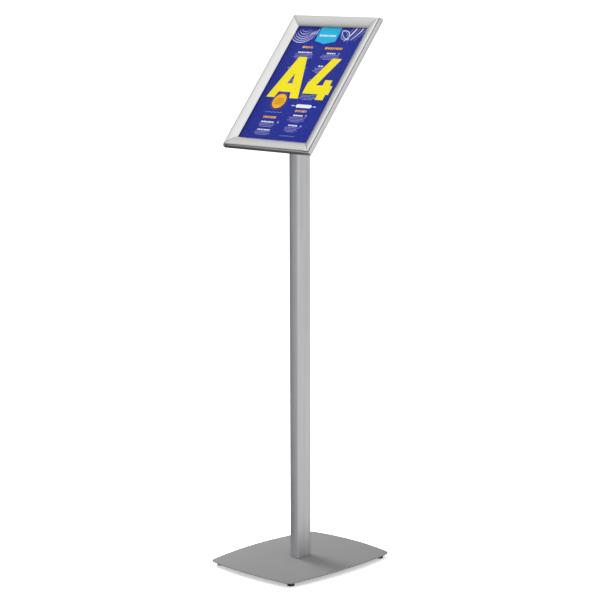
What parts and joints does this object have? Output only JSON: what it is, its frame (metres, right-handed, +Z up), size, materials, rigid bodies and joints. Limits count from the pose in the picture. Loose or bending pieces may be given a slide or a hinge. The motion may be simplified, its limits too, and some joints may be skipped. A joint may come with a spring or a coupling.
{
  "type": "sign stand",
  "caption": "Floor-standing information stand: a tilted portrait poster snap frame with hinged covers on a slim post and a low pressed base plate.",
  "frame": {"origin": "on the floor, under the post's centre line and the middle of the base plate", "axes": "+Z up, -Y towards the reader, +X to the right of someone reading the sign"},
  "size_m": [0.255, 0.318, 1.113],
  "materials": {
    "anodised": "satin anodised",
    "rail_aluminium": "mill-finish anodised",
    "post_aluminium": "satin anodised",
    "powder_coat": "fine satin powder coat",
    "rubber": "matt",
    "black_plate": "black powder coat",
    "zinc_steel": "bright zinc plate",
    "spring_steel": "blued spring strip",
    "back_sheet": "matt styrene board",
    "printed_sheet": "printed poster paper",
    "clear_sheet": "clear anti-glare film"
  },
  "bodies": {
    "stand": {"base_plate": "powder_coat", "rubber_foot_front_left": "rubber", "rubber_foot_front_right": "rubber", "rubber_foot_rear_right": "rubber", "rubber_foot_rear_left": "rubber", "post_profile": "post_aluminium", "post_screw_front": "zinc_steel", "post_screw_rear": "zinc_steel", "head_bracket": "black_plate", "cross_bolt_lower": "zinc_steel", "cross_nut_lower": "zinc_steel", "cross_bolt_upper": "zinc_steel", "cross_nut_upper": "zinc_steel", "back_panel": "back_sheet", "insert_sheet": "printed_sheet", "window_sheet": "clear_sheet", "panel_screw_1": "zinc_steel", "panel_nut_1": "zinc_steel", "panel_screw_2": "zinc_steel", "panel_nut_2": "zinc_steel", "panel_screw_3": "zinc_steel", "panel_nut_3": "zinc_steel", "panel_screw_4": "zinc_steel", "panel_nut_4": "zinc_steel", "base_rail_bottom": "rail_aluminium", "leaf_spring_bottom_1": "spring_steel", "leaf_spring_bottom_2": "spring_steel", "base_rail_right": "rail_aluminium", "leaf_spring_right_1": "spring_steel", "leaf_spring_right_2": "spring_steel", "leaf_spring_right_3": "spring_steel", "base_rail_top": "rail_aluminium", "leaf_spring_top_1": "spring_steel", "leaf_spring_top_2": "spring_steel", "base_rail_left": "rail_aluminium", "leaf_spring_left_1": "spring_steel", "leaf_spring_left_2": "spring_steel", "leaf_spring_left_3": "spring_steel", "corner_key_bottom_left": "zinc_steel", "corner_key_bottom_right": "zinc_steel", "corner_key_top_right": "zinc_steel", "corner_key_top_left": "zinc_steel"},
    "cover_top": {"snap_cover_top": "anodised"},
    "cover_right": {"snap_cover_right": "anodised"},
    "cover_bottom": {"snap_cover_bottom": "anodised"},
    "cover_left": {"snap_cover_left": "anodised"}
  },
  "joints": [
    {"name": "open_top", "type": "hinge", "parent": "stand", "child": "cover_top", "pos_m": [0, 0.10789, 1.10901], "axis": [-1, 0, 0], "range_deg": [0, 90]},
    {"name": "open_right", "type": "hinge", "parent": "stand", "child": "cover_right", "pos_m": [0.1164, 0.00683, 0.9851], "axis": [0, 0.632, 0.7749], "range_deg": [0, 90]},
    {"name": "open_bottom", "type": "hinge", "parent": "stand", "child": "cover_bottom", "pos_m": [0, -0.09423, 0.86118], "axis": [1, 0, 0], "range_deg": [0, 90]},
    {"name": "open_left", "type": "hinge", "parent": "stand", "child": "cover_left", "pos_m": [-0.1164, 0.00683, 0.9851], "axis": [0, -0.632, -0.7749], "range_deg": [0, 90]}
  ]
}
